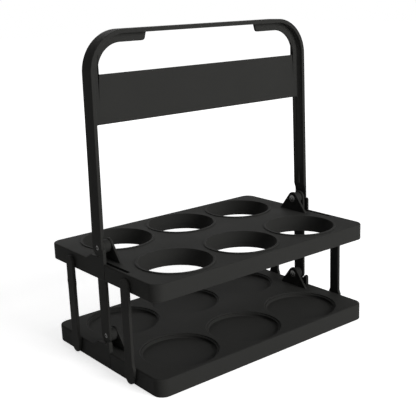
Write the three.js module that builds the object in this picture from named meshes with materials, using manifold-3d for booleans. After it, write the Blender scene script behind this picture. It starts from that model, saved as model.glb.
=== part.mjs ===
// Folding drink carrier: two moulded trays with round places, parallel links between them and a handle.
// Millimetres, +Z up. The origin is the middle of the base's underside, X runs along the long side.
import * as THREE from 'three';
import { mergeVertices } from 'three/addons/utils/BufferGeometryUtils.js';
import Module from 'manifold-3d';

// Driving dimensions of the trays
const trayLength = 280;
const trayWidth = 190;
const trayCorner = 11;
const wall = 2.6;
const deckThickness = 2.6;
const trayEdge = 1.4;
const baseHeight = 18;
const upperSkirt = 17;
const upperTop = 110;

// Round places, three along the length and two across it
const placesLong = 3;
const placesAcross = 2;
const pitchLong = 84;
const pitchAcross = 102;
const holeRadius = 36.5;
const collarWall = 2.2;
const lipWidth = 2.4;
const lipHeight = 1;
const recessRadius = 37.5;
const recessDepth = 4.6;
const recessStep = 1.8;
const recessStepDepth = 1.4;
const recessFloor = 2.4;
const ribThickness = 2.4;
const footRadius = 8;
const footInset = 14;

// Pivots
const pinAboveTop = 14;
const pinRadius = 1.3;
const pinHeadRadius = 2.5;
const pinHeadHeight = 0.6;
const pinHeadSink = 0.3;
const runningGap = 0.3;
const sideGap = 0.4;
const washerRadius = 4;
const washerThickness = 1.2;
const pinTip = 1.4;

// Lugs that carry the pins
const lugThickness = 2.6;
const lugTopRadius = 7.4;
const lugFootHalf = 20.8;
const bossRadius = 6.4;
const bossLength = 6.6;
const hornWidth = 2.6;
const hornRound = 2;
const upstandShoulder = 3;
const upstandFlank = 11;
const baseHornDrop = 3.5;
const stopOverlap = 1.1;
const rootSink = 0.8;

// Centre links, which carry the load from the handle's pins to the base
const centreLinkThickness = 3;
const centreLinkWidth = 15;
const centreFoldAngle = THREE.MathUtils.degToRad(62);

// Side links, outside the end walls
const sideLinkSpread = 100;
const sideLinkThickness = 3.6;
const sideLinkWidth = 12.5;
const sideLinkFootRadius = 6.9;
const sideLinkFootWidth = 16.4;
const sideLinkFootStart = 4;
const sideLinkFootEnd = 10;
const sideLinkFootTaper = 4;
const sideLinkBulge = 0.8;
const sideLinkBulgeHeight = 8;
const sideLinkBulgeBelow = 22;
const basePivotHeight = 7.5;
const pivotRadius = 2.5;
const pivotHeadRadius = 4.2;
const pivotHeadHeight = 0.9;
const pivotDepth = 2.4;

// Handle
const handleTop = 328;
const armInsetLow = 0.5;
const armInsetHigh = 3;
const armWidth = 16.4;
const rimThickness = 4.1;
const armEndThickness = 2.2;
const armEndRelief = 10;
const armEndTaper = 6;
const gripThickness = 4;
const handleCorner = 39;
const webThickness = 3;
const flangeWidth = 11.9;
const lowerFlangeWidth = 5.6;
const openingCorner = 26;
const openingFoot = 2.4;
const panelBottom = 241.5;
const panelTop = 288;
const tabDrop = 12;
const tabReach = 68.8;
const tabSlant = 2.6;
const tabCorner = 3;
const webLowEnd = 17;

// How finely round shapes are cut
const holeSegments = 32;
const pinSegments = 12;
const cornerSegments = 4;
const endSegments = 8;

// Places that follow from the dimensions
const halfLength = trayLength / 2;
const halfWidth = trayWidth / 2;
const upperBottom = upperTop - upperSkirt;
const basePinHeight = baseHeight + pinAboveTop;
const handlePinHeight = upperTop + pinAboveTop;
const linkLength = handlePinHeight - basePinHeight;
const upperPivotHeight = basePivotHeight + linkLength;
const wallInner = halfLength - wall;
const armOuter = halfLength - armInsetLow;
const armInner = armOuter - armEndThickness;
const centreLinkOuter = Math.min(wallInner, armInner) - sideGap;
const centreLinkInner = centreLinkOuter - centreLinkThickness;
const bossEnd = centreLinkInner - sideGap;
const lugOuter = bossEnd - bossLength;
const lugInner = lugOuter - lugThickness;
const washerOuter = lugInner - runningGap;
const washerInner = washerOuter - washerThickness;
const pinInner = washerInner - pinTip;
const sideLinkInner = halfLength + sideGap;
const sideLinkOuter = sideLinkInner + sideLinkThickness;
const slotDepth = pinAboveTop + deckThickness;
const slotSwing = slotDepth * Math.tan(centreFoldAngle) + centreLinkWidth / 2 / Math.cos(centreFoldAngle);
const slotFront = -(slotSwing + 2 * runningGap);
const slotRear = centreLinkWidth / 2 + 2 * runningGap;

const wasm = await Module();
wasm.setup();

// Turns a closed three.js geometry into a solid that can be joined and cut
function solidOf(geometry) {
  const bare = geometry.index ? geometry.toNonIndexed() : geometry.clone();
  bare.deleteAttribute('normal');
  bare.deleteAttribute('uv');
  const merged = mergeVertices(bare, 1e-4);
  const vertProperties = new Float32Array(merged.attributes.position.array);
  const triVerts = new Uint32Array(merged.index.array);
  return new wasm.Manifold(new wasm.Mesh({ numProp: 3, vertProperties, triVerts }));
}

// Turns a solid back into a named mesh with its own material
function meshOf(solid, name, material) {
  const data = solid.getMesh();
  const geometry = new THREE.BufferGeometry();
  geometry.setAttribute('position', new THREE.BufferAttribute(new Float32Array(data.vertProperties), 3));
  geometry.setIndex(new THREE.BufferAttribute(new Uint32Array(data.triVerts), 1));
  geometry.computeVertexNormals();
  const mesh = new THREE.Mesh(geometry, material);
  mesh.name = name;
  return mesh;
}

function joined(solids) {
  return solids.reduce((whole, solid) => whole.add(solid));
}

function cutBy(solid, cutters) {
  return cutters.reduce((left, cutter) => left.subtract(cutter), solid);
}

function box(x0, x1, y0, y1, z0, z1) {
  const geometry = new THREE.BoxGeometry(Math.abs(x1 - x0), Math.abs(y1 - y0), Math.abs(z1 - z0));
  geometry.translate((x0 + x1) / 2, (y0 + y1) / 2, (z0 + z1) / 2);
  return solidOf(geometry);
}

// Upright cylinder
function columnZ(radius, x, y, z0, z1, segments) {
  const geometry = new THREE.CylinderGeometry(radius, radius, z1 - z0, segments);
  geometry.rotateX(Math.PI / 2);
  geometry.translate(x, y, (z0 + z1) / 2);
  return solidOf(geometry);
}

// Cylinder along X between two places, in either order
function columnX(radius, x0, x1, y, z, segments) {
  const geometry = new THREE.CylinderGeometry(radius, radius, Math.abs(x1 - x0), segments);
  geometry.rotateZ(Math.PI / 2);
  geometry.translate((x0 + x1) / 2, y, z);
  return solidOf(geometry);
}

// Plate whose outline is drawn in Y and Z, between two places along X
function plateX(outline, x0, x1) {
  const low = Math.min(x0, x1);
  const settings = { depth: Math.abs(x1 - x0), bevelEnabled: false, curveSegments: endSegments };
  const geometry = new THREE.ExtrudeGeometry(outline, settings);
  const place = new THREE.Matrix4().set(0, 0, 1, low, 1, 0, 0, 0, 0, 1, 0, 0, 0, 0, 0, 1);
  return solidOf(geometry.applyMatrix4(place));
}

// Plate whose outline is drawn in X and Z, centred on the handle's plane
function plateY(outline, thickness) {
  const settings = { depth: thickness, bevelEnabled: false, curveSegments: endSegments };
  const geometry = new THREE.ExtrudeGeometry(outline, settings);
  geometry.rotateX(Math.PI / 2);
  geometry.translate(0, thickness / 2, 0);
  return solidOf(geometry);
}

// Rectangle with round corners, drawn in X and Y
function roundedRectangle(length, width, corner) {
  const x = length / 2;
  const y = width / 2;
  const outline = new THREE.Shape();
  outline.moveTo(-x + corner, -y);
  outline.lineTo(x - corner, -y);
  outline.absarc(x - corner, -y + corner, corner, -Math.PI / 2, 0);
  outline.lineTo(x, y - corner);
  outline.absarc(x - corner, y - corner, corner, 0, Math.PI / 2);
  outline.lineTo(-x + corner, y);
  outline.absarc(-x + corner, y - corner, corner, Math.PI / 2, Math.PI);
  outline.lineTo(-x, -y + corner);
  outline.absarc(-x + corner, -y + corner, corner, Math.PI, Math.PI * 1.5);
  return outline;
}

// Upright block with an eased top edge
function easedBlock(length, width, corner, z0, z1, edge) {
  const settings = {
    depth: z1 - z0,
    bevelEnabled: edge > 0,
    bevelThickness: edge,
    bevelSize: edge,
    bevelOffset: -edge,
    bevelSegments: 2,
    curveSegments: cornerSegments,
  };
  const geometry = new THREE.ExtrudeGeometry(roundedRectangle(length, width, corner), settings);
  geometry.translate(0, 0, z0);
  const block = solidOf(geometry);
  return edge > 0 ? block.intersect(box(-length, length, -width, width, z0, z1 + edge)) : block;
}

// Centres of the round places
function placeCentres() {
  const centres = [];
  for (let i = 0; i < placesLong; i += 1) {
    for (let j = 0; j < placesAcross; j += 1) {
      const x = (i - (placesLong - 1) / 2) * pitchLong;
      const y = (j - (placesAcross - 1) / 2) * pitchAcross;
      centres.push([x, y]);
    }
  }
  return centres;
}

// Deck with a skirt round it, open below
function trayShell(z0, z1) {
  const outside = easedBlock(trayLength, trayWidth, trayCorner, z0, z1 - trayEdge, trayEdge);
  const innerCorner = Math.max(trayCorner - wall, 1);
  const hollow = easedBlock(
    trayLength - 2 * wall, trayWidth - 2 * wall, innerCorner, z0 - 1, z1 - deckThickness, 0);
  return outside.subtract(hollow);
}

// A-shaped lug with a round top at the pin, drawn in Y and Z
function lugOutline(deckTop, pinHeight) {
  const foot = deckTop - rootSink;
  const rise = pinHeight - foot;
  const reach = Math.hypot(lugFootHalf, rise);
  const lean = Math.atan2(rise, lugFootHalf);
  const tangent = Math.acos(lugTopRadius / reach);
  const start = -lean + tangent;
  const outline = new THREE.Shape();
  outline.moveTo(-lugFootHalf, foot);
  outline.lineTo(lugFootHalf, foot);
  outline.absarc(0, pinHeight, lugTopRadius, start, Math.PI - start);
  return outline;
}

// Upstand of the end wall under a round arm end: the horn in front is a stop, the low rear lets it fold
function upstandOutline(deckTop, pinHeight, endRadius, hornDrop) {
  const seat = endRadius + runningGap;
  const foot = deckTop - rootSink - trayEdge;
  const front = -(seat + hornWidth);
  const rear = seat + upstandShoulder;
  const top = pinHeight - hornDrop;
  const cradleEnd = Math.asin(hornDrop / seat) - Math.PI;
  const outline = new THREE.Shape();
  outline.moveTo(front, foot);
  outline.lineTo(rear + upstandFlank, foot);
  outline.lineTo(rear + upstandFlank, deckTop - rootSink);
  outline.lineTo(rear, pinHeight - seat);
  outline.lineTo(0, pinHeight - seat);
  outline.absarc(0, pinHeight, seat, -Math.PI / 2, cradleEnd, true);
  outline.lineTo(front + hornRound, top);
  outline.absarc(front + hornRound, top - hornRound, hornRound, Math.PI / 2, Math.PI);
  return outline;
}

// What one end of a tray adds and cuts for its pin
function pinSeat(side, deckTop, pinHeight, endRadius, hornDrop, upstandInner) {
  const outline = upstandOutline(deckTop, pinHeight, endRadius, hornDrop);
  const upstand = plateX(outline, side * upstandInner, side * halfLength);
  const lug = plateX(lugOutline(deckTop, pinHeight), side * lugInner, side * lugOuter);
  const boss = columnX(bossRadius, side * lugInner, side * bossEnd, 0, pinHeight, pinSegments);
  const bore = columnX(
    pinRadius + runningGap, side * (lugInner - 1), side * (bossEnd + 1), 0, pinHeight, pinSegments);
  return { adds: [upstand, lug, boss], cuts: [bore] };
}

// Hole through an end wall for a side pivot, with a sunk seat for its head
function pivotSeats(side, height) {
  const cuts = [];
  for (const y of [-sideLinkSpread / 2, sideLinkSpread / 2]) {
    const inside = side * (wallInner - 1);
    const seat = side * (wallInner + pivotHeadHeight + runningGap);
    cuts.push(columnX(pivotRadius + runningGap, inside, side * (halfLength + 1), y, height, pinSegments));
    cuts.push(columnX(pivotHeadRadius + runningGap, inside, seat, y, height, pinSegments));
  }
  return cuts;
}

// Base tray: recesses in the deck, ribs and feet below it
function baseTraySolid() {
  const adds = [trayShell(0, baseHeight)];
  const cuts = [];
  const ribTop = baseHeight - deckThickness / 2;
  adds.push(box(-wallInner - 1, wallInner + 1, -ribThickness / 2, ribThickness / 2, 0, ribTop));
  for (const x of [-pitchLong / 2, pitchLong / 2]) {
    adds.push(box(x - ribThickness / 2, x + ribThickness / 2, -halfWidth + 1, halfWidth - 1, 0, ribTop));
  }
  adds.push(columnZ(footRadius, 0, 0, 0, ribTop, pinSegments));
  for (const x of [footInset - halfLength, halfLength - footInset]) {
    for (const y of [footInset - halfWidth, halfWidth - footInset]) {
      adds.push(columnZ(footRadius, x, y, 0, ribTop, pinSegments));
    }
  }
  for (const [x, y] of placeCentres()) {
    const floor = baseHeight - recessDepth;
    const cupRadius = recessRadius + collarWall;
    adds.push(columnZ(cupRadius, x, y, floor - recessFloor, baseHeight - trayEdge, holeSegments));
    cuts.push(columnZ(recessRadius, x, y, floor, baseHeight + 1, holeSegments));
    const ledge = baseHeight - recessStepDepth;
    cuts.push(columnZ(recessRadius + recessStep, x, y, ledge, baseHeight + 1, holeSegments));
  }
  const upstandInner = centreLinkOuter - stopOverlap;
  for (const side of [-1, 1]) {
    const seat = pinSeat(
      side, baseHeight, basePinHeight, centreLinkWidth / 2, baseHornDrop, upstandInner);
    adds.push(...seat.adds);
    cuts.push(...seat.cuts, ...pivotSeats(side, basePivotHeight));
  }
  return cutBy(joined(adds), cuts);
}

// Upper tray: collared holes with raised lips, and a slot at each end for the centre link to swing in
function upperTraySolid() {
  const adds = [trayShell(upperBottom, upperTop)];
  const cuts = [];
  for (const [x, y] of placeCentres()) {
    adds.push(columnZ(holeRadius + collarWall, x, y, upperBottom, upperTop - trayEdge, holeSegments));
    adds.push(columnZ(holeRadius + lipWidth, x, y, upperTop - trayEdge, upperTop + lipHeight, holeSegments));
    cuts.push(columnZ(holeRadius, x, y, upperBottom - 1, upperTop + lipHeight + 1, holeSegments));
  }
  const slotBottom = upperTop - deckThickness - 1;
  for (const side of [-1, 1]) {
    const seat = pinSeat(side, upperTop, handlePinHeight, armWidth / 2, 0, wallInner);
    adds.push(...seat.adds);
    cuts.push(...seat.cuts, ...pivotSeats(side, upperPivotHeight));
    const slotOuter = side * (centreLinkOuter + sideGap);
    cuts.push(box(side * bossEnd, slotOuter, slotFront, slotRear, slotBottom, upperTop + 1));
  }
  return cutBy(joined(adds), cuts);
}

// Bar with two round ends, drawn in Y and Z
function barOutline(z0, z1, radius) {
  const outline = new THREE.Shape();
  outline.absarc(0, z0, radius, Math.PI, Math.PI * 2);
  outline.absarc(0, z1, radius, 0, Math.PI);
  return outline;
}

function centreLinkSolid(side) {
  const outline = barOutline(basePinHeight, handlePinHeight, centreLinkWidth / 2);
  const bar = plateX(outline, side * centreLinkInner, side * centreLinkOuter);
  const headSeat = centreLinkOuter - pinHeadSink - pinHeadHeight - runningGap;
  const inside = side * (centreLinkInner - 1);
  const outside = side * (centreLinkOuter + 1);
  const cuts = [basePinHeight, handlePinHeight].map((z) => columnX(
    pinRadius + runningGap, inside, outside, 0, z, pinSegments));
  cuts.push(columnX(
    pinHeadRadius + runningGap, side * headSeat, outside, 0, basePinHeight, pinSegments));
  return cutBy(bar, cuts);
}

// Outline of a side link: round foot, wider shank inside the base's height, slim bar with a small swell
function sideLinkOutline(y) {
  const top = upperPivotHeight;
  const half = sideLinkWidth / 2;
  const footHalf = sideLinkFootWidth / 2;
  const swell = top - sideLinkBulgeBelow;
  const right = [
    [footHalf, basePivotHeight + sideLinkFootStart],
    [footHalf, basePivotHeight + sideLinkFootEnd],
    [half, basePivotHeight + sideLinkFootEnd + sideLinkFootTaper],
    [half, swell - sideLinkBulgeHeight / 2],
    [half + sideLinkBulge, swell],
    [half, swell + sideLinkBulgeHeight / 2],
  ];
  const outline = new THREE.Shape();
  outline.absarc(y, basePivotHeight, sideLinkFootRadius, Math.PI, Math.PI * 2);
  right.forEach(([across, z]) => outline.lineTo(y + across, z));
  outline.absarc(y, top, half, 0, Math.PI);
  [...right].reverse().forEach(([across, z]) => outline.lineTo(y - across, z));
  return outline;
}

function sideLinkSolid(side, y) {
  const bar = plateX(sideLinkOutline(y), side * sideLinkInner, side * sideLinkOuter);
  const mouth = side * (sideLinkInner - 1);
  const floor = side * (sideLinkInner + pivotDepth);
  const cuts = [basePivotHeight, upperPivotHeight].map((z) => columnX(
    pivotRadius + runningGap / 2, mouth, floor, y, z, pinSegments));
  return cutBy(bar, cuts);
}

// Pivot of a side link, put in from inside the wall
function sidePivotSolid(side, y, z) {
  const tip = sideLinkInner + pivotDepth - runningGap;
  const headInner = wallInner + runningGap / 2;
  const headOuter = headInner + pivotHeadHeight;
  const shank = columnX(pivotRadius, side * headInner, side * tip, y, z, pinSegments);
  const head = columnX(pivotHeadRadius, side * headInner, side * headOuter, y, z, pinSegments);
  return shank.add(head);
}

// Steel pin with a flat head, sunk in the face of the piece that turns on it
function pinSolid(side, z, faceOuter) {
  const headOuter = faceOuter - pinHeadSink;
  const headInner = headOuter - pinHeadHeight;
  const shankEnd = headInner + pinHeadHeight / 2;
  const shank = columnX(pinRadius, side * pinInner, side * shankEnd, 0, z, pinSegments);
  return shank.add(columnX(pinHeadRadius, side * headInner, side * headOuter, 0, z, pinSegments));
}

// Push-on washer that keeps a pin in its lug
function washerSolid(side, z) {
  const disc = columnX(washerRadius, side * washerInner, side * washerOuter, 0, z, pinSegments);
  const hole = columnX(
    pinRadius + runningGap / 2, side * (washerInner - 1), side * (washerOuter + 1), 0, z, pinSegments);
  return disc.subtract(hole);
}

// Place of an arm's outer face at a height below the bend
function armOuterAt(z) {
  const rise = (z - handlePinHeight) / (handleTop - handleCorner - handlePinHeight);
  return armOuter - (armInsetHigh - armInsetLow) * rise;
}

// Outline of the handle's rim, drawn in X and Z: arms that lean in, thinner at the pins, and the grip
function rimOutline() {
  const low = handlePinHeight;
  const bend = handleTop - handleCorner;
  const outerHigh = halfLength - armInsetHigh;
  const innerHigh = outerHigh - rimThickness;
  const reliefTop = low + armEndRelief;
  const taperTop = reliefTop + armEndTaper;
  const innerRelief = armOuterAt(reliefTop) - armEndThickness;
  const innerTaper = armOuterAt(taperTop) - rimThickness;
  const bendX = outerHigh - handleCorner;
  const innerAcross = handleCorner - rimThickness;
  const innerUp = handleCorner - gripThickness;
  const outline = new THREE.Shape();
  outline.moveTo(armInner, low);
  outline.lineTo(armOuter, low);
  outline.lineTo(outerHigh, bend);
  outline.absarc(bendX, bend, handleCorner, 0, Math.PI / 2);
  outline.absarc(-bendX, bend, handleCorner, Math.PI / 2, Math.PI);
  outline.lineTo(-armOuter, low);
  outline.lineTo(-armInner, low);
  outline.lineTo(-innerRelief, reliefTop);
  outline.lineTo(-innerTaper, taperTop);
  outline.lineTo(-innerHigh, bend);
  outline.absellipse(-bendX, bend, innerAcross, innerUp, Math.PI, Math.PI / 2, true, 0);
  outline.absellipse(bendX, bend, innerAcross, innerUp, Math.PI / 2, 0, true, 0);
  outline.lineTo(innerTaper, taperTop);
  outline.lineTo(innerRelief, reliefTop);
  return outline;
}

// Outline of the web between the arms: flanges down the arms, the panel, and two tabs under the grip
function webOutline() {
  const outerHigh = halfLength - armInsetHigh - rimThickness / 2;
  const inner = halfLength - armInsetHigh - flangeWidth;
  const low = handlePinHeight + webLowEnd;
  const outerLow = armOuterAt(low) - rimThickness / 2;
  const innerLow = armOuterAt(low) - lowerFlangeWidth;
  const innerPanel = armOuterAt(panelBottom) - lowerFlangeWidth;
  const bend = handleTop - handleCorner;
  const bendX = halfLength - armInsetHigh - handleCorner;
  const reach = handleCorner - rimThickness / 2;
  const under = handleTop - tabDrop;
  const arcX = inner - openingCorner;
  const arcZ = under - openingCorner;
  const grip = handleTop - gripThickness / 2;
  const footLow = panelBottom - openingFoot;
  const footHigh = panelTop + openingFoot;
  const tabFoot = tabReach + tabSlant;
  const tabBend = tabFoot - tabSlant * tabCorner / (grip - under);
  const outline = new THREE.Shape();
  outline.moveTo(-outerLow, low);
  outline.lineTo(-innerLow, low);
  outline.absarc(-innerPanel + openingFoot, footLow, openingFoot, Math.PI, Math.PI / 2, true);
  outline.absarc(innerPanel - openingFoot, footLow, openingFoot, Math.PI / 2, 0, true);
  outline.lineTo(innerLow, low);
  outline.lineTo(outerLow, low);
  outline.lineTo(outerHigh, bend);
  outline.absarc(bendX, bend, reach, 0, Math.PI / 2);
  outline.lineTo(tabReach, grip);
  outline.lineTo(tabBend, under + tabCorner);
  outline.quadraticCurveTo(tabFoot, under, tabFoot + tabCorner, under);
  outline.absarc(arcX, arcZ, openingCorner, Math.PI / 2, 0, true);
  outline.absarc(inner - openingFoot, footHigh, openingFoot, 0, -Math.PI / 2, true);
  outline.absarc(-inner + openingFoot, footHigh, openingFoot, -Math.PI / 2, -Math.PI, true);
  outline.absarc(-arcX, arcZ, openingCorner, Math.PI, Math.PI / 2, true);
  outline.lineTo(-tabFoot - tabCorner, under);
  outline.quadraticCurveTo(-tabFoot, under, -tabBend, under + tabCorner);
  outline.lineTo(-tabReach, grip);
  outline.absarc(-bendX, bend, reach, Math.PI / 2, Math.PI);
  return outline;
}

function handleSolid() {
  const adds = [plateY(rimOutline(), armWidth), plateY(webOutline(), webThickness)];
  const cuts = [];
  for (const side of [-1, 1]) {
    const headSeat = armOuter - pinHeadSink - pinHeadHeight - runningGap;
    adds.push(columnX(armWidth / 2, side * armInner, side * armOuter, 0, handlePinHeight, holeSegments));
    cuts.push(columnX(
      pinRadius + runningGap, side * (armInner - 1), side * (armOuter + 1), 0, handlePinHeight, pinSegments));
    cuts.push(columnX(
      pinHeadRadius + runningGap, side * headSeat, side * (armOuter + 1), 0, handlePinHeight, pinSegments));
  }
  return cutBy(joined(adds), cuts);
}

const charcoal = () => new THREE.MeshStandardMaterial({ color: 0x2b2b2a, roughness: 0.55, metalness: 0 });
const steel = () => new THREE.MeshStandardMaterial({ color: 0x828280, roughness: 0.45, metalness: 1 });

const carrier = new THREE.Group();
carrier.name = 'drink_carrier';
carrier.add(meshOf(baseTraySolid(), 'base_tray', charcoal()));
carrier.add(meshOf(upperTraySolid(), 'upper_tray', charcoal()));
carrier.add(meshOf(handleSolid(), 'handle', charcoal()));

for (const [side, end] of [[-1, 'left'], [1, 'right']]) {
  carrier.add(meshOf(centreLinkSolid(side), `centre_link_${end}`, charcoal()));
  carrier.add(meshOf(pinSolid(side, handlePinHeight, armOuter), `handle_pin_${end}`, steel()));
  carrier.add(meshOf(pinSolid(side, basePinHeight, centreLinkOuter), `base_pin_${end}`, steel()));
  carrier.add(meshOf(washerSolid(side, handlePinHeight), `handle_pin_washer_${end}`, steel()));
  carrier.add(meshOf(washerSolid(side, basePinHeight), `base_pin_washer_${end}`, steel()));
  for (const [row, place] of [[-1, 'front'], [1, 'rear']]) {
    const y = row * sideLinkSpread / 2;
    carrier.add(meshOf(sideLinkSolid(side, y), `side_link_${place}_${end}`, charcoal()));
    for (const [height, level] of [[basePivotHeight, 'lower'], [upperPivotHeight, 'upper']]) {
      const name = `side_pivot_${level}_${place}_${end}`;
      carrier.add(meshOf(sidePivotSolid(side, y, height), name, charcoal()));
    }
  }
}

export default carrier;
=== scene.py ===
"""Looks of a folding drink carrier: two moulded trays, the links between them, a handle and steel pins."""
import logging
import math
from dataclasses import asdict, dataclass
from enum import Enum
from functools import cache
from typing import ClassVar, Sequence

import bmesh
import bpy
from mathutils import Matrix, Vector


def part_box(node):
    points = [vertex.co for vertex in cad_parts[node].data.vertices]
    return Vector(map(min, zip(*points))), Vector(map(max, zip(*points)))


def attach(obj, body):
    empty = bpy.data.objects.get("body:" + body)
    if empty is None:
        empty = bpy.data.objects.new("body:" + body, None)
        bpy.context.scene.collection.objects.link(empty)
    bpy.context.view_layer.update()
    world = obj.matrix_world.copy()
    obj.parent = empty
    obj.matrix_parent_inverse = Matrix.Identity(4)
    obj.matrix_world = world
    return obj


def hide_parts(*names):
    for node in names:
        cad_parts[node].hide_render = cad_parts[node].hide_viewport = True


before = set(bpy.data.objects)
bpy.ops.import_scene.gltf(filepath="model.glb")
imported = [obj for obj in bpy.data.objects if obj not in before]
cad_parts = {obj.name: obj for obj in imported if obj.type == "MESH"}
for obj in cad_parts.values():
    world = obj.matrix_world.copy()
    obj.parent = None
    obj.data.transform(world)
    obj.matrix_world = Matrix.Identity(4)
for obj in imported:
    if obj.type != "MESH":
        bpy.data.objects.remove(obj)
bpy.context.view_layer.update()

LOG = logging.getLogger("carrier")
MILLIMETRE = 0.001

# How far a cutter runs past what it cuts
MARGIN = 1.0
# Chords in a rounded edge, and in a fillet of a turned profile
EDGE_CHORDS = 3
FILLET_CHORDS = 4
# Largest share of a side that a rounded corner takes
CORNER_SHARE = 0.45
# Points closer than this are one point, in a new solid and in a combined one
WELD = 1e-4
COMBINED_WELD = 1e-3
# Faces that turn less than the first are one flat face, edges that turn more than the second are sharp
FLAT_DEGREES = 0.4
SHARP_DEGREES = 38.0
# How much more a large face counts than a small one in the shading of an edge
FACE_WEIGHT = 90

Point2 = tuple[float, float]
Point3 = tuple[float, float, float]
Colour = tuple[float, float, float, float]

WHITE: Colour = (1.0, 1.0, 1.0, 1.0)


class Operation(Enum):
    """How one solid is combined with another."""

    JOIN = "UNION"
    CUT = "DIFFERENCE"
    KEEP = "INTERSECT"


class Plane(Enum):
    """The plane in which a plate's outline is drawn."""

    YZ = "yz"
    XZ = "xz"
    XY = "xy"

    def point(self, across: float, up: float, depth: float) -> Point3:
        """Places a drawn point in space, with its depth along the axis that the plane lacks."""
        places = {Plane.YZ: (depth, across, up), Plane.XZ: (across, depth, up), Plane.XY: (across, up, depth)}
        return places[self]


class Side(Enum):
    """A side of the carrier, -1 or 1 along its axis."""

    @property
    def label(self) -> str:
        """Word used in the names of pieces."""
        return self.name.lower()


class End(Side):
    """One short end of the carrier."""

    LEFT = -1
    RIGHT = 1


class Row(Side):
    """Front or rear link of an end."""

    FRONT = -1
    REAR = 1


def arc(
    centre: Point2, radius: float, start: float, end: float, steps: int, rise: float | None = None
) -> list[Point2]:
    """Points along an arc of a circle, or of an ellipse.

    Args:
        centre: middle of the arc.
        radius: its radius.
        start: first angle in degrees.
        end: last angle in degrees.
        steps: number of chords.
        rise: radius along the second axis, where it differs.

    Returns:
        The points, first and last included.
    """
    tall = radius if rise is None else rise
    angles = [math.radians(start + (end - start) * i / steps) for i in range(steps + 1)]
    return [(centre[0] + radius * math.cos(a), centre[1] + tall * math.sin(a)) for a in angles]


def rounded_corner(before: Point2, corner: Point2, after: Point2, reach: float, steps: int) -> list[Point2]:
    """Points of a curve that cuts a corner.

    Args:
        before: the drawn point before the corner.
        corner: the corner.
        after: the drawn point after it.
        reach: how far along each side the curve starts.
        steps: number of chords.

    Returns:
        The points, first and last included.
    """
    middle, back, on = Vector(corner), Vector(before) - Vector(corner), Vector(after) - Vector(corner)
    start = middle + back.normalized() * min(reach, CORNER_SHARE * back.length)
    end = middle + on.normalized() * min(reach, CORNER_SHARE * on.length)
    places = [i / steps for i in range(steps + 1)]
    return [tuple((1 - t) ** 2 * start + 2 * t * (1 - t) * middle + t * t * end) for t in places]


def softened(outline: Sequence[Point2], reach: float, turn: float, steps: int) -> list[Point2]:
    """Rounds the corners of a closed outline.

    Args:
        outline: the drawn points.
        reach: how far along each side a rounding starts.
        turn: least turn of a corner that is rounded, in degrees.
        steps: chords in a rounding.

    Returns:
        The points of the new outline.
    """
    result: list[Point2] = []
    for i, corner in enumerate(outline):
        before, after = outline[i - 1], outline[(i + 1) % len(outline)]
        came, goes = Vector(corner) - Vector(before), Vector(after) - Vector(corner)
        if math.degrees(came.angle(goes, 0.0)) < turn:
            result.append(corner)
        else:
            result += rounded_corner(before, corner, after, reach, steps)
    return result


def rounded_rectangle(length: float, width: float, corner: float, steps: int) -> list[Point2]:
    """Outline of a rectangle with round corners, centred on the origin.

    Args:
        length: size along X.
        width: size along Y.
        corner: corner radius.
        steps: chords in each corner.

    Returns:
        The points of the outline, anticlockwise.
    """
    x, y = length / 2 - corner, width / 2 - corner
    corners = (((x, -y), -90), ((x, y), 0), ((-x, y), 90), ((-x, -y), 180))
    return [p for centre, start in corners for p in arc(centre, corner, start, start + 90, steps)]


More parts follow.
